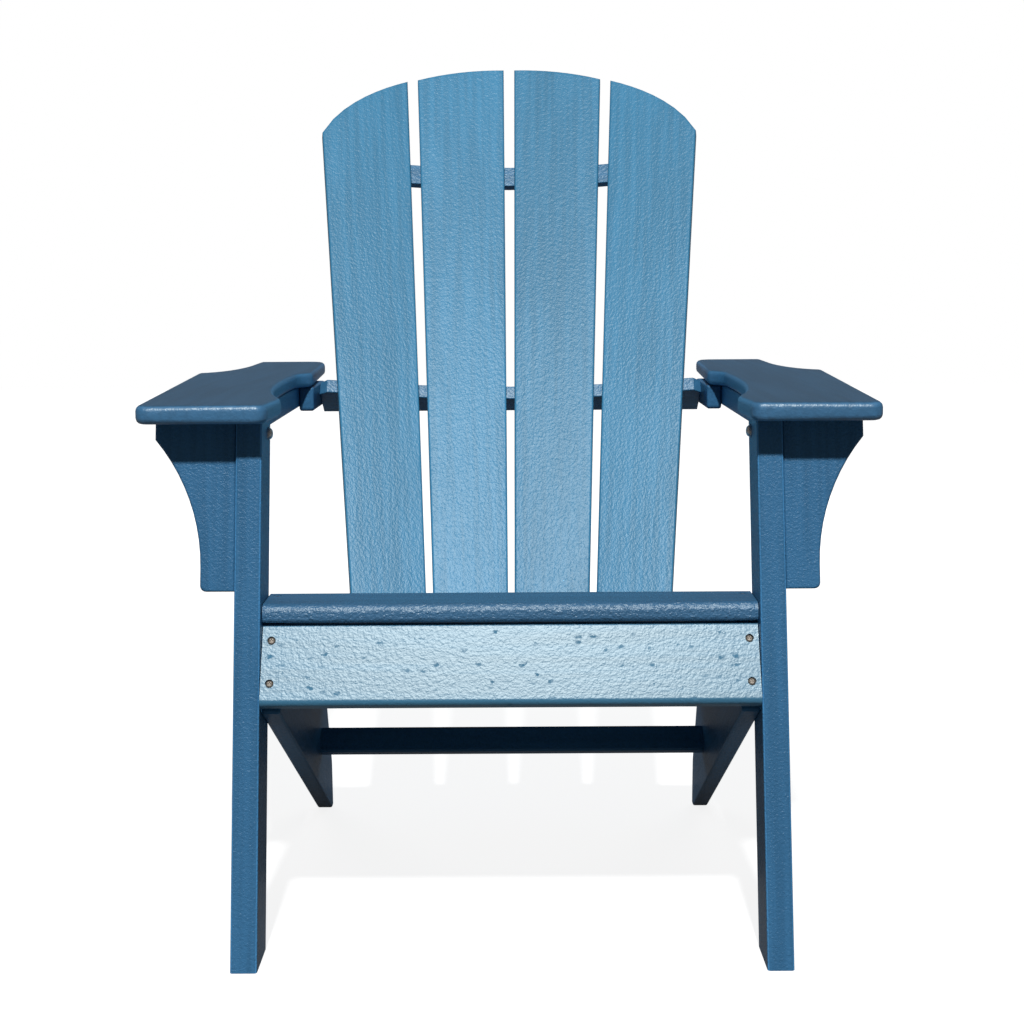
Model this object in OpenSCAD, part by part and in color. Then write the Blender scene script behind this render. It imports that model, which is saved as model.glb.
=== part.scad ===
// Adirondack chair in solid polyethylene board, screwed and bolted together.
// Front is -Y, right-hand side is +X, ground is Z = 0.

/* [Front legs] */
// Clear width between the two front legs
inside_w = 498; // [470:1:540]
// Thickness of a leg
leg_t = 26.5; // [22:0.5:30]
// Width of a leg, front to back
leg_w = 62; // [56:1:70]
// Angle the legs lean back from upright
leg_lean = 10.8; // [8:0.2:12]

/* [Boards] */
// Thickness of the board that most pieces are cut from
board_t = 19; // [17:0.5:20]
// Radius that eases the long edges of the boards
edge_r = 3; // [1:0.5:4]

/* [Seat] */
// Slope of the seat and stringers, down to the rear
seat_slope = 27.9; // [25:0.1:29]
// Height of the front seat slat above the ground
seat_h = 349; // [345:1:352]
// Distance from the front of the feet to where the stringers reach the ground
foot_y = 517; // [500:1:530]
// Width across a stringer
stringer_w = 113; // [105:1:118]
// Width of a seat slat
slat_w = 62; // [54:1:64]
// Gap between seat slats
slat_gap = 9; // [6:1:12]
// Number of seat slats between the front slat and the rear seat board
slat_count = 4; // [3:1:4]
// Width of the front seat slat
nose_w = 64; // [60:1:66]
// Distance the front slat stands out past the top of the apron
nose_overhang = 7; // [4:1:12]
// Height of the apron board
apron_w = 85; // [80:1:87]

/* [Back] */
// Angle the back leans from upright
recline = 31; // [30:0.5:33]
// Angle between neighbouring back slats in the fan
fan_step = 2.75; // [2.5:0.05:3]
// Radius of the hollow that the back slats follow
dish_r = 1270; // [1150:10:1500]
// Width of a back slat at its foot
back_slat_foot_w = 90; // [84:1:92]
// Width of a back slat at the height of its arch
back_slat_top_w = 129; // [124:1:132]
// Length of the back along its middle, foot to apex
back_len = 963; // [900:1:1000]
// Half width of the ellipse that the tops of the slats follow
arch_half_w = 279; // [275:1:320]
// Rise of that ellipse
arch_rise = 175; // [150:1:190]

/* [Arms] */
// Height of the top of the arms
arm_h = 551; // [540:1:570]
// Length of an arm
arm_len = 830; // [790:1:850]
// Distance from the front of the feet to the front of the arms
arm_front = 60; // [50:1:74]
// Radius that eases the edges of the arms
arm_edge_r = 6; // [3:0.5:8]
// Height of the rail under an arm
arm_rail_h = 26.5; // [24:0.5:30]
// Reach of a bracket out from the leg, at its top
bracket_reach = 82; // [70:1:86]
// Length of a bracket down the leg
bracket_len = 171; // [150:1:190]

/* [Fasteners] */
// Diameter of a screw head
screw_head_d = 7.6; // [7:0.1:8.4]
// Diameter of a screw shank
screw_d = 4.2; // [3.5:0.1:4.8]
// Diameter of a bolt
bolt_d = 6; // [5:0.5:8]

/* [Hidden] */

board_blue = "steelblue";
shade_blue = "#2f5d86";
steel = "silver";

$fn = 32;
far = 1200;            // longer than any board
ease_steps = 3;        // facets round an eased edge
clearance = 0.15;      // between a fastener and its hole

// Faces of the frame, measured from the middle of the chair
leg_in = inside_w/2;
leg_out = leg_in + leg_t;
stringer_in = leg_in - board_t;
stringer_mid = leg_in - board_t/2;
rail_out = leg_out + board_t;
block_in = leg_out - board_t;
arm_under = arm_h - board_t;

// Side profile of the stringers and the seat
run = tan(seat_slope);
seat_under = seat_h - board_t;
function stringer_low(y) = (foot_y - y)*run;
stringer_rise = stringer_w/cos(seat_slope);
kink_y = foot_y - (seat_under - stringer_rise)/run;
foot_rear = foot_y + 11;
heel = [foot_rear - 6, 60];
tail_lean = 29;
tail_s = (stringer_low(heel.x) + stringer_rise - heel.y)/(cos(tail_lean) - sin(tail_lean)*run);
tail_top = heel + tail_s*[-sin(tail_lean), cos(tail_lean)];

// The apron stands square to the stringers, its lower front corner here
apron_foot = [43, 255];
apron_rear = apron_foot + board_t*[cos(seat_slope), -sin(seat_slope)];
apron_drop = ((foot_y - apron_rear.x)*run - apron_rear.y)*cos(seat_slope);
stringer_toe = apron_rear + apron_drop*[sin(seat_slope), cos(seat_slope)];
stringer_brow = [apron_rear.x + (seat_under - apron_rear.y)*run, seat_under];
nose_y = apron_foot.x + (seat_under - apron_foot.y)*run - nose_overhang;

// The back: its own frame has X across, Y to the rear and Z up the slats, and
// its origin on the front of the slats, in the middle, at the middle rail
back_origin = [689, 540];
back_foot = -450;
back_apex = back_foot + back_len;
fan_r = 2460;
slat_angles = [for (i = [-1.5:1:1.5]) i*fan_step];
function slat_x(a) = fan_r*tan(a);
function dish_angle(a) = asin(slat_x(a)/dish_r);
function arch(x) = back_apex - arch_rise*(1 - sqrt(1 - pow(min(abs(x)/arch_half_w, 1), 2)));
function half_w(q) = back_slat_foot_w/2
    + (q - back_foot)/back_len*(back_slat_top_w - back_slat_foot_w)/2;
// Depth of the slats' plane number a, at x, moved back by off
function facet(a, x, off) = let (b = dish_angle(a))
    dish_r*cos(b) - dish_r - (x - dish_r*sin(b))*tan(b) + off/cos(b);
function dish(x, off) = facet((x < 0 ? -1 : 1)*(abs(x) > ridge_x ? 1.5 : 0.5)*fan_step, x, off);
// Where the planes of an inner and an outer slat meet
ridge_x = dish_r*tan((dish_angle(fan_step/2) + dish_angle(1.5*fan_step))/2);

// Middle back rail
rail_top = -5;
rail_rear = 57;
rail_chamfer = 10;
// Upper back rail
batten_low = 320;
batten_h = 32;
batten_t = 12;
batten_half = 240;

chair_depth = back_origin.x + back_apex*sin(recline) + board_t*cos(recline);

// Seat boards, measured along the slope from the kink of the stringers
first_slat = 6;        // start of the first slat behind the front slat
rear_board_w = 110;    // width of the rear seat board, before its bevel
apron_edge_r = 6;
nose_half = leg_in - 0.5;
stretcher_h = 30;
stretcher_at = [396, 107];

// Plan of the right-hand arm: its outer edge runs outwards by arm_splay to a shoulder,
// and the inner edge goes from a nook beside the back along a waist to a neck
arm_rear = arm_front + arm_len;
arm_splay = 0.072;
shoulder_run = 555;
arm_in = leg_in - 10;
arm_out = leg_out + 93.5;
shoulder = [arm_out + arm_splay*shoulder_run, arm_front + shoulder_run];
tail_out = leg_out + 92.5;
tail_in = leg_in + 22;
nook = [leg_in + 8, arm_front + 546];
waist = [leg_out - 1, arm_front + 501];
neck = [leg_in - 13, arm_front + 98];

// Under the arms
rail_setback = 34;     // from the front of the leg to the front of the rail under the arm
arm_block_front = 608;
arm_block_rear = 745;
arm_block_h = 31.5;
bracket_front = 5;     // the bracket sits this far behind the front of the leg
bracket_foot = 35;     // reach of the bracket at its lower end
bracket_lip = 18;      // height of the straight tip at its upper end

// Screws: recess, head, and length under the head
head_sink = 3;
head_t = 2.2;
middle_bite = 11;      // how far the middle and upper rail screws enter a slat
pocket_tilt = 60;      // of the bracket's screws, off the line of the leg's outer face
apron_screw = 45;
seat_screw = 38;
lower_screw = 42;
upper_screw = batten_t + middle_bite;
arm_screw = arm_rail_h + 10;
bracket_screw = 32;
block_screw = board_t + 12;
rail_end_screw = 2*board_t + 24;
stretcher_screw = 50;

// Where the screws and bolts stand
apron_screw_z = [22, 66];
nose_screw_y = 22;     // behind the brow of the stringers
slat_screw_in = 15;    // from each edge of a seat slat
rear_screw_y = [14, 40];
lower_screw_x = [-20, 20];
lower_screw_z = 13;    // above the foot of the slat
rail_screw_x = [-25, 25];
arm_screw_y = [240, 420, 560, 728];
bracket_screw_z = [425, 496];
bracket_screw_in = 16; // from the leg to the mouth of the pocket
block_screw_y = [630, 665];
rail_end_y = [13, 31];
stringer_bolt_at = [[108, 316], [98, 272]];
rail_bolt_at = [145, arm_under - 17];

// Bolts, with their washers and nuts
bolt_head_t = 3.8;
bolt_head_d = 11.5;
washer_t = 1.2;
washer_d = 14;
nut_t = 5;
bolt_sink = 6;         // recess in the leg for the head of a stringer bolt
stringer_grip = leg_t - bolt_sink + board_t;
arm_rail_grip = board_t + leg_t;
sleeve_d = 8.6;        // the sleeve of the nut that closes an arm rail's bolt
sleeve_len = 16;
button_t = 3.2;        // height of its button

// ---- Outlines ----

function unit(v) = v/norm(v);
function ring(p, i) = let (q = p[(i + len(p)) % len(p)]) [q.x, q.y];
// Points along a cubic curve, without its first point
function curve(a, b, c, d, n) = [for (i = [1:n]) let (t = i/n, s = 1 - t)
    s*s*s*a + 3*s*s*t*b + 3*s*t*t*c + t*t*t*d];
// The outline p with its corners rounded: a corner is [x, y, radius], or [x, y] to stay sharp
function rounded(p, n = 4) = [for (i = [0:len(p) - 1]) each is_undef(p[i][2]) ? [p[i]]
    : let (q = ring(p, i), r = p[i][2], u = unit(ring(p, i - 1) - q), v = unit(ring(p, i + 1) - q),
           half = acos(u*v)/2, f = -unit(u + v), c = q - f*r/sin(half),
           swing = (u.x*v.y - u.y*v.x > 0 ? -1 : 1)*(90 - half))
        [for (k = [0:n]) let (w = swing*(1 - 2*k/n))
            c + r*[f.x*cos(w) + f.y*sin(w), f.y*cos(w) - f.x*sin(w)]]];
// The outline p moved in by d, for an outline that runs anticlockwise
function inset(p, d) = [for (i = [0:len(p) - 1])
    let (e = unit(p[i] - ring(p, i - 1)), g = unit(ring(p, i + 1) - p[i]),
         m = [-e.y, e.x], n = [-g.y, g.x])
    p[i] + d*(m + n)/(1 + m*n)];

// Twice the area of the triangle a b c, above 0 where it runs anticlockwise
function turn(a, b, c) = (b.x - a.x)*(c.y - a.y) - (b.y - a.y)*(c.x - a.x);
function covers(a, b, c, q) = turn(a, b, q) >= 0 && turn(b, c, q) >= 0 && turn(c, a, q) >= 0;
// Whether corner i of the numbers left can be cut off the outline p as one triangle
function is_ear(p, left, i) = let (m = len(left), a = left[(i + m - 1) % m], b = left[i],
    c = left[(i + 1) % m]) turn(p[a], p[b], p[c]) > 0
    && len([for (q = left) if (q != a && q != b && q != c && covers(p[a], p[b], p[c], p[q])) q]) == 0;
function ear(p, left, i = 0) = i == len(left) - 1 || is_ear(p, left, i) ? i : ear(p, left, i + 1);
// Triangles that fill the outline p, made by cutting off one corner after another
function filled(p, left) = len(left) == 3 ? [left] : let (m = len(left), i = ear(p, left))
    concat([[left[(i + m - 1) % m], left[i], left[(i + 1) % m]]],
        filled(p, [for (k = [1:m - 1]) left[(i + k) % m]]));

// A board of thickness t cut to an outline, with its edges eased to the radius r
module eased_board(outline, t, r) {
    n = len(outline);
    lower = [for (k = [0:ease_steps]) let (w = 90*k/ease_steps) r*[1 - sin(w), 1 - cos(w)]];
    upper = [for (k = [ease_steps:-1:0]) [lower[k][0], t - lower[k][1]]];
    steps = concat(lower, upper);
    points = [for (s = steps) each [for (p = inset(outline, s[0])) [p.x, p.y, s[1]]]];
    cap = filled(inset(outline, r), [for (i = [0:n - 1]) i]);
    polyhedron(points, concat(
        cap,
        [for (k = [0:len(steps) - 2]) each [for (i = [0:n - 1]) let (j = (i + 1) % n)
            [k*n + i, (k + 1)*n + i, (k + 1)*n + j, k*n + j]]],
        [for (c = cap) [for (k = [2:-1:0]) (len(steps) - 1)*n + c[k]]]));
}

// The section of a board: x from 0 to w, y from 0 to t, with its corners eased
module board_section(w, t, r) {
    translate([r, 0]) square([w - 2*r, t]);
    translate([0, r]) square([w, t - 2*r]);
    for (x = [r, w - r], y = [r, t - r]) translate([x, y]) circle(r);
}

// ---- Places ----

module chair() { translate([0, -chair_depth/2, 0]) children(); }
module handed(side) { mirror([side < 0 ? 1 : 0, 0, 0]) children(); }
// From the plane of an outline drawn in Y and Z, thickness along X
module side_plane(x) { translate([x, 0, 0]) rotate([90, 0, 90]) children(); }
// A board that runs across the chair, its section drawn in Y and Z
module crosswise(half_len) { side_plane(-half_len) linear_extrude(2*half_len) children(); }
module leg_frame() { rotate([-leg_lean, 0, 0]) children(); }
module apron_frame() {
    translate([0, apron_foot.x, apron_foot.y]) rotate([-seat_slope, 0, 0]) children();
}
module seat_frame() { translate([0, kink_y, seat_under]) rotate([-seat_slope, 0, 0]) children(); }
module back_frame() {
    translate([0, back_origin.x, back_origin.y]) rotate([-recline, 0, 0]) children();
}
// The plane of a back slat: Y = 0 is its front, Z runs up its middle
module slat_frame(a) {
    back_frame() translate([0, -dish_r, 0]) rotate([0, 0, -dish_angle(a)])
        translate([0, dish_r, 0]) rotate([0, a, 0]) children();
}
module stretcher_frame() {
    translate([0, stretcher_at.x, stretcher_at.y]) rotate([-seat_slope, 0, 0]) children();
}

// ---- Fasteners ----

// A pan-head screw at the origin, driven towards -Z from the face Z = 0
module screw(length) {
    difference() {
        translate([0, 0, -head_sink]) rotate_extrude() polygon([
            [0, -length], [screw_d/2, screw_d - length], [screw_d/2, 0], [screw_head_d/2, 0],
            [screw_head_d/2, 0.8], [screw_head_d/2 - 0.5, 1.6], [screw_head_d/2 - 1.6, head_t],
            [0, head_t]]);
        for (slot = [0, 90]) rotate(slot)
            translate([-2, -0.5, head_t - head_sink - 1.2]) cube([4, 1, 2]);
    }
}
module screw_hole(length) {
    translate([0, 0, -head_sink]) cylinder(d = screw_head_d + 1, h = far);
    translate([0, 0, -head_sink - length - 0.5])
        cylinder(d = screw_d + 2*clearance, h = length + 1);
}

// Where the screws sit. Each set draws its children on the face that they go in by.
module apron_sites() {
    apron_frame() for (x = [-stringer_mid, stringer_mid], z = apron_screw_z)
        translate([x, 0, z]) rotate([90, 0, 0]) children();
}
module nose_sites() {
    for (x = [-stringer_mid, stringer_mid])
        translate([x, stringer_brow.x + nose_screw_y, seat_h]) children();
}
function slat_start(k) = first_slat + k*(slat_w + slat_gap);
module slat_sites(k) {
    seat_frame() for (x = [-stringer_mid, stringer_mid], y = [slat_screw_in, slat_w - slat_screw_in])
        translate([x, slat_start(k) + y, board_t]) children();
}
module lower_back_sites() {
    for (a = slat_angles) slat_frame(a) for (x = lower_screw_x)
        translate([x, board_t, back_foot + lower_screw_z]) rotate([-90, 0, 0]) children();
}
module middle_back_sites(inner) {
    for (a = slat_angles) if ((abs(a) < fan_step) == inner)
        back_frame() for (x = rail_screw_x)
            translate([slat_x(a) + x, rail_rear, rail_top - board_t/2])
                rotate([-90, 0, 0]) children();
}
function middle_screw(a) = rail_rear - head_sink + middle_bite
    - facet(a, slat_x(a) + rail_screw_x[1], board_t);
module upper_back_sites() {
    for (a = slat_angles) slat_frame(a) for (x = rail_screw_x)
        translate([x, board_t + batten_t, batten_low + batten_h/2])
            rotate([-90, 0, 0]) children();
}
module arm_sites(side) {
    handed(side) for (y = arm_screw_y)
        translate([(leg_out + rail_out)/2, y, arm_under - arm_rail_h]) rotate([180, 0, 0]) children();
}
module bracket_sites(side) {
    handed(side) leg_frame() for (z = bracket_screw_z)
        translate([leg_out + bracket_screw_in, bracket_front + board_t, z])
            rotate([0, 0, 90 - pocket_tilt]) rotate([0, 90, 0]) children();
}
module block_sites(side) {
    handed(side) for (y = block_screw_y)
        translate([rail_out, y, arm_under - arm_rail_h/2]) rotate([0, 90, 0]) children();
}
module rail_end_sites(side) {
    handed(side) back_frame() for (y = rail_end_y)
        translate([rail_out, y, rail_top - board_t/2]) rotate([0, 90, 0]) children();
}
module stretcher_sites(side) {
    handed(side) stretcher_frame() for (z = [8, stretcher_h - 8])
        translate([leg_in, board_t/2, z]) rotate([0, 90, 0]) children();
}
module stringer_bolt_sites(side) {
    handed(side) for (p = stringer_bolt_at) translate([leg_out, p.x, p.y])
        rotate([0, 90, 0]) children();
}
module rail_bolt_site(side) {
    handed(side) translate([rail_out, rail_bolt_at.x, rail_bolt_at.y]) rotate([0, 90, 0]) children();
}

// Bolts run along -Z from the face Z = 0, through what they hold
module hex_bolt(grip, past) {
    difference() {
        union() {
            cylinder(d = bolt_head_d, h = bolt_head_t, $fn = 6);
            translate([0, 0, -grip - past]) cylinder(d = bolt_d, h = grip + past);
        }
        translate([0, 0, bolt_head_t - 0.6])
            difference() {
                cylinder(d = bolt_head_d + 4, h = 2);
                translate([0, 0, -1]) cylinder(d1 = bolt_head_d + 1, d2 = bolt_head_d - 3, h = 3);
            }
    }
}
module washer(bore) {
    difference() {
        cylinder(d = washer_d, h = washer_t);
        translate([0, 0, -1]) cylinder(d = bore + 2*clearance, h = washer_t + 2);
    }
}
// Both nuts stand on Z = 0 and rise towards +Z
module hex_nut() {
    difference() {
        cylinder(d = bolt_head_d, h = nut_t, $fn = 6);
        translate([0, 0, -1]) cylinder(d = bolt_d + 2*clearance, h = nut_t + 2);
    }
}
// A low button with a sleeve that reaches down into the leg, turned by a hexagon key
module sleeve_nut() {
    difference() {
        rotate_extrude() polygon([
            [0, -sleeve_len], [sleeve_d/2, -sleeve_len], [sleeve_d/2, 0], [bolt_head_d/2, 0],
            [bolt_head_d/2, 0.9], [bolt_head_d/2 - 0.6, 1.9], [bolt_head_d/2 - 1.8, 2.8],
            [bolt_head_d/2 - 3, button_t], [0, button_t]]);
        translate([0, 0, -sleeve_len - 1]) cylinder(d = bolt_d + 2*clearance, h = sleeve_len);
        translate([0, 0, button_t - 2]) cylinder(d = 4.6, h = 3, $fn = 6);
    }
}
module bolt_hole() {
    translate([0, 0, -far/2]) cylinder(d = bolt_d + 2*clearance, h = far);
}

// ---- Frame ----

module front_leg(side) {
    color(board_blue) chair() difference() {
        handed(side) intersection() {
            leg_frame() translate([leg_in, 0, -40]) linear_extrude(far)
                board_section(leg_t, leg_w, edge_r);
            translate([0, -far/2, 0]) cube([far, far, arm_under]);
        }
        stringer_bolt_sites(side) {
            bolt_hole();
            translate([0, 0, -bolt_sink]) cylinder(d = washer_d + 2, h = far);
        }
        rail_bolt_site(side) {
            bolt_hole();
            translate([0, 0, -arm_rail_grip - 1])
                cylinder(d = sleeve_d + 2*clearance, h = sleeve_len - washer_t + 1 + clearance);
        }
        bracket_sites(side) screw_hole(bracket_screw);
    }
}

module stringer(side) {
    outline = rounded([
        [foot_y, 0, 3], [foot_rear, 0, 3], [heel.x, heel.y, 40], [tail_top.x, tail_top.y, 22],
        [kink_y, seat_under, 12], [stringer_brow.x, seat_under, 3],
        [stringer_toe.x, stringer_toe.y, 3]]);
    color(shade_blue) chair() difference() {
        handed(side) side_plane(stringer_in) eased_board(outline, board_t, 2.5);
        stringer_bolt_sites(side) bolt_hole();
        apron_sites() screw_hole(apron_screw);
        nose_sites() screw_hole(seat_screw);
        for (k = [0:slat_count - 1]) slat_sites(k) screw_hole(seat_screw);
        rear_board_sites() screw_hole(seat_screw);
        stretcher_sites(side) screw_hole(stretcher_screw);
    }
}

module front_apron() {
    color(board_blue) chair() difference() {
        apron_frame() crosswise(nose_half) board_section(board_t, apron_w, apron_edge_r);
        apron_sites() screw_hole(apron_screw);
    }
}

module rear_stretcher() {
    color(shade_blue) chair() difference() {
        stretcher_frame() crosswise(stringer_in) board_section(board_t, stretcher_h, edge_r);
        for (side = [-1, 1]) stretcher_sites(side) screw_hole(stretcher_screw);
    }
}

// ---- Seat ----

module front_seat_slat() {
    nose = rounded([[0, 0, 5], [nose_w, 0, 3], [nose_w, board_t, 3], [0, board_t, 9]], 6);
    color(board_blue) chair() difference() {
        translate([0, nose_y, seat_under]) crosswise(nose_half) polygon(nose);
        nose_sites() screw_hole(seat_screw);
    }
}

module seat_slat(k) {
    color(board_blue) chair() difference() {
        seat_frame() translate([0, slat_start(k), 0]) crosswise(leg_in)
            board_section(slat_w, board_t, edge_r);
        slat_sites(k) screw_hole(seat_screw);
    }
}

rear_start = slat_start(slat_count);
module rear_board_sites() {
    seat_frame() for (x = [-stringer_mid, stringer_mid], y = rear_screw_y)
        translate([x, rear_start + y, board_t]) children();
}

// The rearmost seat board is bevelled and hollowed to seat the feet of the back slats
module rear_seat_board() {
    color(board_blue) chair() difference() {
        seat_frame() translate([0, rear_start, 0]) crosswise(leg_in)
            board_section(rear_board_w, board_t, edge_r);
        for (a = slat_angles) slat_frame(a) translate([-far/2, 0, -far/2]) cube(far);
        rear_board_sites() screw_hole(seat_screw);
        lower_back_sites() screw_hole(lower_screw);
    }
}

// ---- Back ----

module back_slat(k) {
    a = slat_angles[k - 1];
    // Where the arch cuts the slat's own line at p across it, found by repetition
    function top(p, q, n) = n == 0 ? q
        : top(p, (arch(slat_x(a) + p*cos(a) + q*sin(a)) + p*sin(a))/cos(a), n - 1);
    crown = half_w(back_apex - 40);
    arch_steps = 8;
    outline = concat(
        [[-half_w(back_foot), back_foot], [half_w(back_foot), back_foot]],
        [for (i = [0:arch_steps]) let (p = crown*(1 - 2*i/arch_steps)) [p, top(p, back_apex, 5)]]);
    color(board_blue) chair() difference() {
        slat_frame(a) translate([0, board_t, 0]) rotate([90, 0, 0])
            eased_board(outline, board_t, edge_r);
        lower_back_sites() screw_hole(lower_screw);
        for (inner = [true, false])
            middle_back_sites(inner) screw_hole(middle_screw((inner ? 0.5 : 1.5)*fan_step));
        upper_back_sites() screw_hole(upper_screw);
    }
}

// Front edge of a back rail, from its right end to its left end
function dish_line(half, off) = [for (x = [half, ridge_x, 0, -ridge_x, -half]) [x, dish(x, off)]];

module middle_back_rail() {
    c = block_in - rail_chamfer;
    front = concat([[block_in, dish(block_in, board_t) + rail_chamfer]], dish_line(c, board_t),
        [[-block_in, dish(block_in, board_t) + rail_chamfer]]);
    outline = concat([[-block_in, rail_rear], [block_in, rail_rear]], front);
    ordered = [for (i = [len(outline) - 1:-1:0]) outline[i]];
    color(board_blue) chair() difference() {
        back_frame() translate([0, 0, rail_top - board_t]) eased_board(ordered, board_t, 1.5);
        for (inner = [true, false])
            middle_back_sites(inner) screw_hole(middle_screw((inner ? 0.5 : 1.5)*fan_step));
        for (side = [-1, 1]) rail_end_sites(side) screw_hole(rail_end_screw);
    }
}

module upper_back_rail() {
    front = dish_line(batten_half, board_t);
    rear = dish_line(batten_half, board_t + batten_t);
    outline = concat([for (i = [4:-1:0]) front[i]], rear);
    color(shade_blue) chair() difference() {
        back_frame() translate([0, 0, batten_low]) eased_board(outline, batten_h, 1.5);
        upper_back_sites() screw_hole(upper_screw);
    }
}

// ---- Arms ----

// Plan of the right-hand arm, anticlockwise from its front inner corner
arm_plan = rounded(concat(
    [[arm_in, arm_front, 12], [arm_out, arm_front, 14], shoulder],
    curve(shoulder, shoulder + [-25, 17], [tail_out + 2, shoulder.y + 75],
        [tail_out, shoulder.y + 175], 8),
    [[tail_out, arm_rear, 8], [tail_in, arm_rear, 26], [nook.x, nook.y, 14]],
    curve(nook, nook + [12, -12], waist + [0, 17], waist, 4),
    [for (q = curve(waist, waist + [1.5, -181], neck + [32, 104], neck, 8))
        q == neck ? [q.x, q.y, 120] : q]));

module arm(side) {
    color(board_blue) chair() difference() {
        handed(side) translate([0, 0, arm_under]) eased_board(arm_plan, board_t, arm_edge_r);
        arm_sites(side) screw_hole(arm_screw);
    }
}

module arm_rail(side) {
    start = (arm_under - arm_rail_h)*tan(leg_lean) + rail_setback;
    color(shade_blue) chair() difference() {
        handed(side) translate([leg_out, start, arm_under - arm_rail_h])
            rotate([-90, 0, 0]) translate([0, -arm_rail_h, 0]) linear_extrude(arm_block_rear - start)
                board_section(board_t, arm_rail_h, edge_r);
        arm_sites(side) screw_hole(arm_screw);
        block_sites(side) screw_hole(block_screw);
        rail_end_sites(side) screw_hole(rail_end_screw);
        rail_bolt_site(side) bolt_hole();
    }
}

module arm_block(side) {
    low = arm_under - arm_block_h;
    outline = rounded([
        [arm_block_front, low, 5], [arm_block_rear, low, 5],
        [arm_block_rear, arm_under, 4], [arm_block_front, arm_under, 4]]);
    color(shade_blue) chair() difference() {
        handed(side) side_plane(block_in) eased_board(outline, board_t, 3);
        block_sites(side) screw_hole(block_screw);
        rail_end_sites(side) screw_hole(rail_end_screw);
    }
}

module arm_bracket(side) {
    bottom = arm_under/cos(leg_lean) - bracket_len;
    top = bottom + bracket_len + 10;
    // The hollow is part of a circle that meets the straight foot without a corner
    hollow_top = top - 10 - bracket_lip;
    hollow_low = bottom + 24;
    rise = hollow_top - hollow_low;
    reach = bracket_reach - bracket_foot;
    hollow_r = (reach*reach + rise*rise)/(2*reach);
    sweep = asin(rise/hollow_r);
    outline = rounded(concat(
        [[0, bottom], [bracket_foot, bottom, 6]],
        [for (k = [0:10]) let (w = sweep*k/10)
            [bracket_foot + hollow_r*(1 - cos(w)), hollow_low + hollow_r*sin(w)]],
        [[bracket_reach, top], [0, top]]));
    color(board_blue) chair() difference() {
        handed(side) intersection() {
            leg_frame() translate([leg_out, bracket_front + board_t, 0]) rotate([90, 0, 0])
                eased_board(outline, board_t, 2.5);
            translate([0, -far/2, 0]) cube([far, far, arm_under]);
        }
        bracket_sites(side) screw_hole(bracket_screw);
    }
}

// ---- Fastener sets ----

module apron_screws() { color(steel) chair() apron_sites() screw(apron_screw); }
module seat_screws() {
    color(steel) chair() {
        nose_sites() screw(seat_screw);
        for (k = [0:slat_count - 1]) slat_sites(k) screw(seat_screw);
        rear_board_sites() screw(seat_screw);
    }
}
module lower_back_screws() { color(steel) chair() lower_back_sites() screw(lower_screw); }
module middle_back_screws() {
    color(steel) chair() for (inner = [true, false])
        middle_back_sites(inner) screw(middle_screw((inner ? 0.5 : 1.5)*fan_step));
}
module upper_back_screws() { color(steel) chair() upper_back_sites() screw(upper_screw); }
module arm_screws() { color(steel) chair() for (side = [-1, 1]) arm_sites(side) screw(arm_screw); }
module bracket_screws() {
    color(steel) chair() for (side = [-1, 1]) bracket_sites(side) screw(bracket_screw);
}
module arm_block_screws() {
    color(steel) chair() for (side = [-1, 1]) block_sites(side) screw(block_screw);
}
module back_rail_end_screws() {
    color(steel) chair() for (side = [-1, 1]) rail_end_sites(side) screw(rail_end_screw);
}
module stretcher_screws() {
    color(steel) chair() for (side = [-1, 1]) stretcher_sites(side) screw(stretcher_screw);
}
module stringer_bolts() {
    color(steel) chair() for (side = [-1, 1]) stringer_bolt_sites(side)
        translate([0, 0, -bolt_sink]) hex_bolt(stringer_grip, washer_t + 6);
}
module stringer_washers() {
    color(steel) chair() for (side = [-1, 1]) stringer_bolt_sites(side)
        translate([0, 0, -leg_t - board_t - washer_t]) washer(bolt_d);
}
module stringer_nuts() {
    color(steel) chair() for (side = [-1, 1]) stringer_bolt_sites(side)
        translate([0, 0, -leg_t - board_t - washer_t]) rotate([180, 0, 0]) hex_nut();
}
module arm_rail_bolts() {
    color(steel) chair() for (side = [-1, 1]) rail_bolt_site(side)
        hex_bolt(arm_rail_grip, 0);
}
module arm_rail_washers() {
    color(steel) chair() for (side = [-1, 1]) rail_bolt_site(side)
        translate([0, 0, -arm_rail_grip - washer_t]) washer(sleeve_d);
}
module arm_rail_nuts() {
    color(steel) chair() for (side = [-1, 1]) rail_bolt_site(side)
        translate([0, 0, -arm_rail_grip - washer_t]) rotate([180, 0, 0]) sleeve_nut();
}

front_leg(-1);  // left_front_leg
front_leg(1);  // right_front_leg
stringer(-1);  // left_stringer
stringer(1);  // right_stringer
front_apron();
front_seat_slat();
seat_slat(0);  // seat_slat_1
seat_slat(1);  // seat_slat_2
seat_slat(2);  // seat_slat_3
seat_slat(3);  // seat_slat_4
rear_seat_board();
rear_stretcher();
back_slat(1);  // back_slat_1
back_slat(2);  // back_slat_2
back_slat(3);  // back_slat_3
back_slat(4);  // back_slat_4
middle_back_rail();
upper_back_rail();
arm(-1);  // left_arm
arm(1);  // right_arm
arm_rail(-1);  // left_arm_rail
arm_rail(1);  // right_arm_rail
arm_bracket(-1);  // left_arm_bracket
arm_bracket(1);  // right_arm_bracket
arm_block(-1);  // left_arm_block
arm_block(1);  // right_arm_block
apron_screws();
seat_screws();
lower_back_screws();
middle_back_screws();
upper_back_screws();
arm_screws();
bracket_screws();
arm_block_screws();
back_rail_end_screws();
stretcher_screws();
stringer_bolts();
stringer_washers();
stringer_nuts();
arm_rail_bolts();
arm_rail_washers();
arm_rail_nuts();
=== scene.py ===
import math

import bmesh
import bpy
from mathutils import Matrix, Vector


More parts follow.
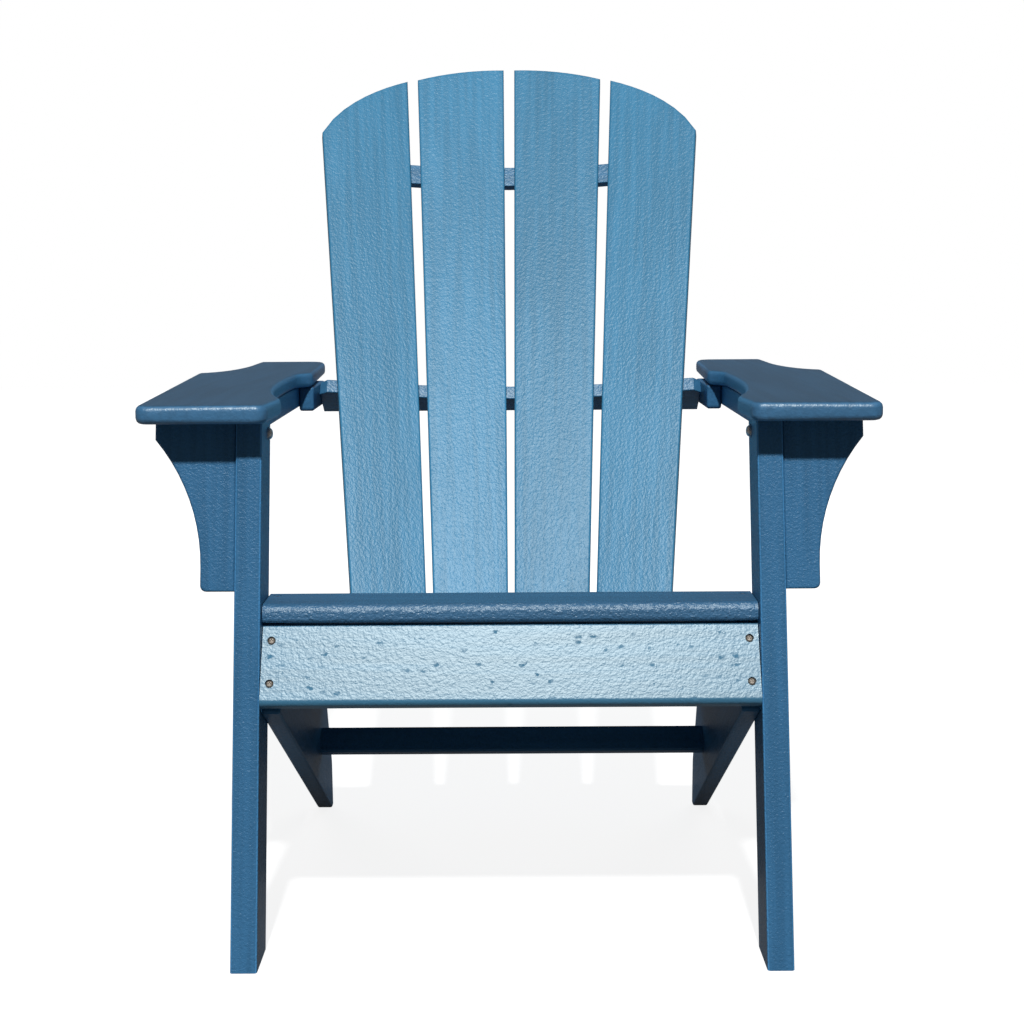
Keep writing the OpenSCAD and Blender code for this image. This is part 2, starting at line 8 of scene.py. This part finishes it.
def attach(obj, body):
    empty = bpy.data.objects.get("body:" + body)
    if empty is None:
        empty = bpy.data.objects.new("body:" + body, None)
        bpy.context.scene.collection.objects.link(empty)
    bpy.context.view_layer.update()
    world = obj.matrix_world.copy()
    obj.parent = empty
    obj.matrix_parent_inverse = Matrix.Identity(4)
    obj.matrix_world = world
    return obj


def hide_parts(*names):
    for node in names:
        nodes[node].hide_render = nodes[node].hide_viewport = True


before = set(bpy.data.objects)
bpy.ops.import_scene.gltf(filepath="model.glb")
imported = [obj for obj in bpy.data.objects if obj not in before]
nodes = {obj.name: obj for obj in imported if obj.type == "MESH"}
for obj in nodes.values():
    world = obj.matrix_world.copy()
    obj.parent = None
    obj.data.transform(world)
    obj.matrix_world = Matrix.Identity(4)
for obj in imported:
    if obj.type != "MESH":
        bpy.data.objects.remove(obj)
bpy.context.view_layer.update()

# ---- Studio -------------------------------------------------------------------------
# The chair stands on a plain white floor and is seen from in front, from a little above
# its arms. One lamp stands high in front, and weak ones keep its sides and back readable.
studio = bpy.context.scene
studio.view_settings.view_transform = "Standard"

eye = (0.0055, -2.0882, 0.6794)
pan, tilt, roll = math.radians(0.09), math.radians(85.0), math.radians(-0.34)
camera = bpy.data.objects.new("camera", bpy.data.cameras.new("camera"))
studio.collection.objects.link(camera)
studio.camera = camera
camera.data.lens = 59.77
camera.data.sensor_width = 36.0
camera.data.shift_y = -0.0887
camera.data.clip_start, camera.data.clip_end = 0.05, 60.0
camera.matrix_world = (
    Matrix.Translation(eye)
    @ Matrix.Rotation(pan, 4, "Z")
    @ Matrix.Rotation(tilt, 4, "X")
    @ Matrix.Rotation(roll, 4, "Z")
)

floor_reach = 8.0
bounce_grey = (0.16, 0.16, 0.16, 1)     # how the floor throws light back up at the chair
shadow_grey = (0.3, 0.3, 0.3, 1)        # the share of the floor's white that a shadow takes away
floor_glow = 0.86                       # the share that stays
room_tint = (0.93, 0.96, 1.0, 1)
room_strength = 0.07
white_in_gloss = 0.08                   # how much of the white shows in glossy boards and screws


def worked(net, operation, first, second):
    """One sum with two values, each a number or a socket."""
    step = net.nodes.new("ShaderNodeMath")
    step.operation = operation
    for socket, value in zip(step.inputs, (first, second)):
        if isinstance(value, float):
            socket.default_value = value
        else:
            net.links.new(value, socket)
    return step.outputs[0]


def white_where_seen(net, lit, seen):
    """lit for the light on the chair, and seen where the background itself is looked at."""
    path = net.nodes.new("ShaderNodeLightPath")
    straight = worked(net, "MAXIMUM", path.outputs["Is Camera Ray"], path.outputs["Is Transmission Ray"])
    in_gloss = worked(net, "MULTIPLY", path.outputs["Is Glossy Ray"], white_in_gloss)
    pick = net.nodes.new("ShaderNodeMixShader")
    net.links.new(worked(net, "MAXIMUM", straight, in_gloss), pick.inputs[0])
    net.links.new(lit, pick.inputs[1])
    net.links.new(seen, pick.inputs[2])
    return pick.outputs[0]


shape = bmesh.new()
bmesh.ops.create_grid(shape, x_segments=1, y_segments=1, size=floor_reach)
floor = bpy.data.objects.new("floor", bpy.data.meshes.new("floor"))
shape.to_mesh(floor.data)
shape.free()
studio.collection.objects.link(floor)

paint = bpy.data.materials.new("floor_paint")
paint.use_nodes = True
floor.data.materials.append(paint)
net = paint.node_tree
net.nodes.clear()
dull = net.nodes.new("ShaderNodeBsdfDiffuse")
dull.inputs["Color"].default_value = bounce_grey
pale = net.nodes.new("ShaderNodeBsdfDiffuse")
pale.inputs["Color"].default_value = shadow_grey
glow = net.nodes.new("ShaderNodeEmission")
glow.inputs["Strength"].default_value = floor_glow
both = net.nodes.new("ShaderNodeAddShader")
net.links.new(pale.outputs[0], both.inputs[0])
net.links.new(glow.outputs[0], both.inputs[1])
out = net.nodes.new("ShaderNodeOutputMaterial")
net.links.new(white_where_seen(net, dull.outputs[0], both.outputs[0]), out.inputs["Surface"])

studio.world = bpy.data.worlds.new("room")
studio.world.use_nodes = True
net = studio.world.node_tree
net.nodes.clear()
dim = net.nodes.new("ShaderNodeBackground")
dim.inputs["Color"].default_value = room_tint
dim.inputs["Strength"].default_value = room_strength
white = net.nodes.new("ShaderNodeBackground")
white.inputs["Color"].default_value = (1, 1, 1, 1)
out = net.nodes.new("ShaderNodeOutputWorld")
net.links.new(white_where_seen(net, dim.outputs[0], white.outputs[0]), out.inputs["Surface"])


def aimed(name, light, azimuth, elevation, away):
    """A lamp on a sphere round the chair; azimuth 0 is straight in front, 90 to the right."""
    turn, rise = math.radians(azimuth), math.radians(elevation)
    outward = Vector(
        (math.sin(turn) * math.cos(rise), -math.cos(turn) * math.cos(rise), math.sin(rise))
    )
    mid_chair = Vector((0, 0, 0.45))
    lamp = bpy.data.objects.new(name, light)
    studio.collection.objects.link(lamp)
    lamp.location = mid_chair + outward * away
    lamp.rotation_euler = outward.to_track_quat("Z", "Y").to_euler()
    return lamp


key = bpy.data.lights.new("key_lamp", "SUN")
key.energy = 3.1
key.angle = math.radians(3.5)
aimed("key_lamp", key, azimuth=-0.5, elevation=50.0, away=4.0)
for name, azimuth in (("rear_left_lamp", -150.0), ("rear_right_lamp", 150.0)):
    fill = bpy.data.lights.new(name, "AREA")
    fill.size = 1.8
    fill.energy = 22.0
    aimed(name, fill, azimuth, elevation=12.0, away=3.0).visible_glossy = False

# ---- Front legs ---------------------------------------------------------------------
# Two thick boards of solid polyethylene, coloured right through. They lean back, their
# long edges are eased with a router, and the mould leaves a fine orange peel on them.
board_blue = (0.0425, 0.158, 0.312)
gloss_tint = (0.92, 1.0, 0.97, 1)
peel_depth = 0.0006
merge_within = 2e-6
sharp_from = math.radians(40.0)


def ranged(net, value, low, high, to_low, to_high):
    """value, eased from the range low to high into the range to_low to to_high."""
    eased = net.nodes.new("ShaderNodeMapRange")
    eased.interpolation_type = "SMOOTHSTEP"
    for socket, number in zip(eased.inputs[1:5], (low, high, to_low, to_high)):
        socket.default_value = number
    net.links.new(value, eased.inputs["Value"])
    return eased.outputs["Result"]


def noise(net, where, scale, detail):
    """Soft cloudy noise at the places given."""
    cloudy = net.nodes.new("ShaderNodeTexNoise")
    cloudy.inputs["Scale"].default_value = scale
    cloudy.inputs["Detail"].default_value = detail
    net.links.new(where, cloudy.inputs["Vector"])
    return cloudy


def cells(net, where, scale):
    """Scattered round cells at the places given."""
    spots = net.nodes.new("ShaderNodeTexVoronoi")
    spots.inputs["Scale"].default_value = scale
    net.links.new(where, spots.inputs["Vector"])
    return spots


def drawn(net, lengthwise, times, shift):
    """The board's places, drawn out along it and shifted, so that no two patterns agree."""
    moved = net.nodes.new("ShaderNodeMapping")
    moved.inputs["Scale"].default_value = (1.0 / times, 1.0, 1.0)
    moved.inputs["Location"].default_value = (shift, shift * 0.7, shift * 0.3)
    net.links.new(lengthwise, moved.inputs["Vector"])
    return moved.outputs[0]


def orange_peel(net, lengthwise, grain, stretch):
    """The height of the peel: fine waves, with a small round bump on each cell."""
    bump_share = 0.18
    bump_reach = 0.7
    spots = cells(net, drawn(net, lengthwise, stretch, shift=3.1), scale=grain * 0.8)
    bumps = ranged(net, spots.outputs["Distance"], 0.0, bump_reach, 1.0, 0.0)
    waves = noise(net, drawn(net, lengthwise, stretch, shift=7.7), scale=grain * 0.5, detail=4.0)
    return worked(net, "ADD", worked(net, "MULTIPLY", bumps, bump_share), waves.outputs["Fac"])


def flow_marks(net, lengthwise):
    """The tone left by the flow of the plastic: thin streaks along the board, and clouds."""
    streak_share, cloud_share = 0.55, 0.45
    darkest, lightest = 0.89, 1.11
    low, high = 0.3, 0.7    # nearly all of the noise lies between these
    thin = noise(net, drawn(net, lengthwise, times=26.0, shift=1.3), scale=130.0, detail=2.0)
    broad = noise(net, drawn(net, lengthwise, times=3.0, shift=5.9), scale=9.0, detail=2.0)
    streak = ranged(net, thin.outputs["Fac"], low, high, 0.0, 1.0)
    cloud = ranged(net, broad.outputs["Fac"], low, high, 0.0, 1.0)
    streaks = worked(net, "MULTIPLY", streak, streak_share)
    clouds = worked(net, "MULTIPLY", cloud, cloud_share)
    return ranged(net, worked(net, "ADD", streaks, clouds), 0.0, 1.0, darkest, lightest)


def pits(net, lengthwise):
    """Small ragged hollows, up to 1 in the middle of a pit and 0 between them."""
    raggedness = (0.007, 0.005, 0.005)
    pit_floor, pit_rim = 0.08, 0.3
    bare_below, full_above = 0.55, 1.05     # each cell's own chance; about half have no pit
    ragged = noise(net, lengthwise, scale=240.0, detail=2.0)
    pulled = net.nodes.new("ShaderNodeVectorMath")
    pulled.operation = "MULTIPLY_ADD"
    pulled.inputs[1].default_value = raggedness
    net.links.new(ragged.outputs["Color"], pulled.inputs[0])
    net.links.new(drawn(net, lengthwise, times=1.7, shift=0.83), pulled.inputs[2])
    spots = cells(net, pulled.outputs["Vector"], scale=120.0)
    chance = net.nodes.new("ShaderNodeSeparateColor")
    net.links.new(spots.outputs["Color"], chance.inputs[0])
    hollow = ranged(net, spots.outputs["Distance"], pit_floor, pit_rim, 1.0, 0.0)
    chosen = ranged(net, chance.outputs[0], bare_below, full_above, 0.0, 1.0)
    return worked(net, "MULTIPLY", hollow, chosen)


def painted_edge_highlight(net, normal, turn, edge_highlight):
    """1 on the flat faces of the board, rising to the given factor on its eased edges: a painted
    highlight along the edges.
    """
    eased, flat_face = 0.78, 0.97   # how squarely a surface faces one of the board's six sides
    squared = net.nodes.new("ShaderNodeMapping")
    squared.vector_type = "VECTOR"
    squared.inputs["Rotation"].default_value = turn
    net.links.new(normal, squared.inputs["Vector"])
    flat = net.nodes.new("ShaderNodeVectorMath")
    flat.operation = "ABSOLUTE"
    net.links.new(squared.outputs[0], flat.inputs[0])
    sides = net.nodes.new("ShaderNodeSeparateXYZ")
    net.links.new(flat.outputs["Vector"], sides.inputs[0])
    facing = worked(net, "MAXIMUM", sides.outputs[0], sides.outputs[1])
    facing = worked(net, "MAXIMUM", facing, sides.outputs[2])
    return ranged(net, facing, eased, flat_face, edge_highlight, 1.0)


def board_plastic(name, along, blue=board_blue, gloss=0.24, rough=0.34, peel=1.0, grain=540.0,
                  stretch=1.15, pitted=False, top_shade_factor=1.0, edge_highlight=1.0):
    """Blue board whose peel and streaks run along the direction given.

    The next to last argument darkens its upper faces as painted shade, and the last lightens its eased
    edges as a painted highlight.
    """
    made = bpy.data.materials.new(name)
    made.use_nodes = True
    net = made.node_tree
    skin = net.nodes["Principled BSDF"]
    skin.inputs["Roughness"].default_value = rough
    skin.inputs["Specular IOR Level"].default_value = gloss
    skin.inputs["Specular Tint"].default_value = gloss_tint

    place = net.nodes.new("ShaderNodeTexCoord")
    turn = Vector(along).to_track_quat("X", "Z").to_matrix().inverted().to_euler()
    turned = net.nodes.new("ShaderNodeMapping")
    turned.inputs["Rotation"].default_value = turn
    net.links.new(place.outputs["Object"], turned.inputs["Vector"])
    lengthwise = turned.outputs[0]

    height = orange_peel(net, lengthwise, grain, stretch)
    if pitted:
        pit_depth, pit_dullness = 0.6, 0.5
        hollow = pits(net, lengthwise)
        height = worked(net, "SUBTRACT", height, worked(net, "MULTIPLY", hollow, pit_depth))
        duller = worked(net, "ADD", worked(net, "MULTIPLY", hollow, pit_dullness), rough)
        net.links.new(duller, skin.inputs["Roughness"])
    bump = net.nodes.new("ShaderNodeBump")
    bump.inputs["Distance"].default_value = peel_depth
    bump.inputs["Strength"].default_value = peel
    net.links.new(height, bump.inputs["Height"])
    net.links.new(bump.outputs[0], skin.inputs["Normal"])

    # Painted shade: the blue is darkened on faces that look upward.
    sloping, level = 0.75, 0.97
    upward = net.nodes.new("ShaderNodeSeparateXYZ")
    net.links.new(place.outputs["Normal"], upward.inputs[0])
    painted_top_shade = ranged(net, upward.outputs["Z"], sloping, level, 1.0, top_shade_factor)
    tone_and_painted_light = worked(net, "MULTIPLY", flow_marks(net, lengthwise), painted_top_shade)
    # Painted highlight: the blue is lightened along the eased edges.
    if edge_highlight != 1.0:
        wear_and_edge_highlight = painted_edge_highlight(net, place.outputs["Normal"], turn, edge_highlight)
        tone_and_painted_light = worked(net, "MULTIPLY", tone_and_painted_light, wear_and_edge_highlight)
    colour = net.nodes.new("ShaderNodeVectorMath")
    colour.operation = "SCALE"
    colour.inputs[0].default_value = blue
    net.links.new(tone_and_painted_light, colour.inputs["Scale"])
    net.links.new(colour.outputs["Vector"], skin.inputs["Base Color"])
    return made


def dressed(name, paint):
    """A copy of the plain board with its triangles joined, so that its eased edges shade round."""
    shape = bmesh.new()
    shape.from_mesh(nodes[name].data)
    bmesh.ops.remove_doubles(shape, verts=shape.verts, dist=merge_within)
    for face in shape.faces:
        face.smooth = True
    for edge in shape.edges:
        edge.smooth = edge.calc_face_angle(0.0) < sharp_from
    piece = bpy.data.objects.new(name + "_dressed", bpy.data.meshes.new(name + "_dressed"))
    shape.to_mesh(piece.data)
    shape.free()
    studio.collection.objects.link(piece)
    piece.data.materials.append(paint)
    even = piece.modifiers.new("even_normals", "WEIGHTED_NORMAL")
    even.weight = 100
    even.keep_sharp = True
    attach(piece, "root")
    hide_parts(name)


leg_lean = math.radians(10.8)
leg_line = (0.0, math.sin(leg_lean), math.cos(leg_lean))
# The legs' eased edges get a painted highlight, a lighter blue along them.
leg_plastic = board_plastic("leg_plastic", leg_line, peel=1.4, grain=800.0, stretch=1.0, edge_highlight=1.9)
for name in ("left_front_leg", "right_front_leg"):
    dressed(name, leg_plastic)

# ---- Stringers ----------------------------------------------------------------------
# Two wide boards on edge, sawn to the slope of the seat. They carry every seat board, and
# their rear tips are the chair's back feet.
seat_slope = math.radians(27.9)
stringer_line = (0.0, math.cos(seat_slope), -math.sin(seat_slope))
stringer_plastic = board_plastic("stringer_plastic", stringer_line, gloss=0.12)
for name in ("left_stringer", "right_stringer"):
    dressed(name, stringer_plastic)

# ---- Seat ---------------------------------------------------------------------------
# Boards across the chair, screwed down to the stringers. The apron stands square to the
# stringers, under the front slat's nose, which is rounded for the backs of the knees. The
# stretcher is the same board, and ties the stringers together near the back feet.
across = (1, 0, 0)
apron_blue = (0.042, 0.18, 0.31)
apron_plastic = board_plastic(
    "apron_plastic", across, apron_blue, gloss=0.9, rough=0.4, peel=0.6, stretch=1.2, pitted=True
)
dressed("front_apron", apron_plastic)
# Painted shade: the nose's upper faces are darkened.
nose_plastic = board_plastic(
    "nose_plastic", across, gloss=1.0, rough=0.42, peel=2.6, stretch=1.2, top_shade_factor=0.8
)
dressed("front_seat_slat", nose_plastic)
seat_plastic = board_plastic("seat_plastic", across)
for name in ("seat_slat_1", "seat_slat_2", "seat_slat_3", "seat_slat_4"):
    dressed(name, seat_plastic)
for name in ("rear_seat_board", "rear_stretcher"):
    dressed(name, seat_plastic)

# ---- Back ---------------------------------------------------------------------------
# Four tapered boards, set as a fan under one arch and turned towards each other, which makes
# a hollow for the sitter's back. Each one's blue is scaled by its own factor, painted light
# for how the lamp falls on its turn. Two rails behind them are cut to the same hollow.
back_blue = (0.054, 0.236, 0.412)
rail_blue = (0.046, 0.178, 0.33)
recline = math.radians(31.0)
fan_step = math.radians(2.75)
fan_middle = 2.5    # between slats 2 and 3
# Painted light: each factor lightens or darkens one slat's blue for how the lamp falls on it.
for number, tone_and_painted_light in ((1, 1.0), (2, 1.06), (3, 0.95), (4, 0.99)):
    lean = (number - fan_middle) * fan_step
    slat_line = (
        math.sin(lean),
        math.sin(recline) * math.cos(lean),
        math.cos(recline) * math.cos(lean),
    )
    painted_light_slat_blue = [channel * tone_and_painted_light for channel in back_blue]
    slat_plastic = board_plastic(
        f"back_slat_{number}_plastic", slat_line, painted_light_slat_blue, gloss=0.21, peel=0.85, stretch=1.3
    )
    dressed(f"back_slat_{number}", slat_plastic)
rail_plastic = board_plastic("rail_plastic", across, rail_blue, gloss=0.33, peel=0.8)
for name in ("middle_back_rail", "upper_back_rail"):
    dressed(name, rail_plastic)

# ---- Arms ---------------------------------------------------------------------------
# Wide flat boards, waisted inside and rounded all round. Each lies on a rail that is
# bolted to the leg, with a block that takes the end of the middle back rail.
front_to_back = (0, 1, 0)
arm_blue = (0.048, 0.171, 0.333)
# Painted shade: the arms' upper faces are darkened.
arm_plastic = board_plastic(
    "arm_plastic", front_to_back, arm_blue, gloss=0.85, rough=0.41, peel=0.8, top_shade_factor=0.55
)
for name in ("left_arm", "right_arm"):
    dressed(name, arm_plastic)
arm_rail_plastic = board_plastic("arm_rail_plastic", front_to_back)
for name in ("left_arm_rail", "right_arm_rail", "left_arm_block", "right_arm_block"):
    dressed(name, arm_rail_plastic)

# ---- Brackets -----------------------------------------------------------------------
# Sawn boards with one hollow edge, screwed to the outside of the legs under the arms. They
# are cut along the board, so their streaks follow the legs.
bracket_plastic = board_plastic("bracket_plastic", leg_line, peel=1.4, grain=800.0, stretch=1.0)
for name in ("left_arm_bracket", "right_arm_bracket"):
    dressed(name, bracket_plastic)


# ---- Screws, bolts and nuts ---------------------------------------------------------
# Stainless screws in recesses, tarnished by the weather. Brighter bolts, with washers and
# nuts, join the legs to the stringers and to the arm rails.
def steel(name, worn_colour, bright_colour, smooth, dull):
    """Stainless steel whose wear is blotchy, from smooth to dull."""
    made = bpy.data.materials.new(name)
    made.use_nodes = True
    net = made.node_tree
    metal = net.nodes["Principled BSDF"]
    metal.inputs["Metallic"].default_value = 0.8
    place = net.nodes.new("ShaderNodeTexCoord")
    wear = noise(net, place.outputs["Object"], scale=900.0, detail=3.0).outputs["Fac"]
    least_wear, most_wear = 0.3, 0.7
    wear_and_edge_highlight = net.nodes.new("ShaderNodeMapRange")
    for socket, number in zip(wear_and_edge_highlight.inputs[1:5], (least_wear, most_wear, smooth, dull)):
        socket.default_value = number
    net.links.new(wear, wear_and_edge_highlight.inputs["Value"])
    net.links.new(wear_and_edge_highlight.outputs["Result"], metal.inputs["Roughness"])
    tarnish = net.nodes.new("ShaderNodeMix")
    tarnish.data_type = "RGBA"
    colour_a, colour_b, mixed = tarnish.inputs[6], tarnish.inputs[7], tarnish.outputs[2]
    colour_a.default_value = (*worn_colour, 1)
    colour_b.default_value = (*bright_colour, 1)
    net.links.new(wear, tarnish.inputs["Factor"])
    net.links.new(mixed, metal.inputs["Base Color"])
    return made


screw_steel = steel("screw_steel", (0.15, 0.13, 0.11), (0.32, 0.29, 0.25), smooth=0.5, dull=0.65)
bolt_steel = steel("bolt_steel", (0.5, 0.48, 0.44), (0.74, 0.73, 0.7), smooth=0.2, dull=0.38)
for name, node in nodes.items():
    if name.endswith(("screws", "bolts", "washers", "nuts")):
        node.data.materials.clear()
        node.data.materials.append(screw_steel if name.endswith("screws") else bolt_steel)
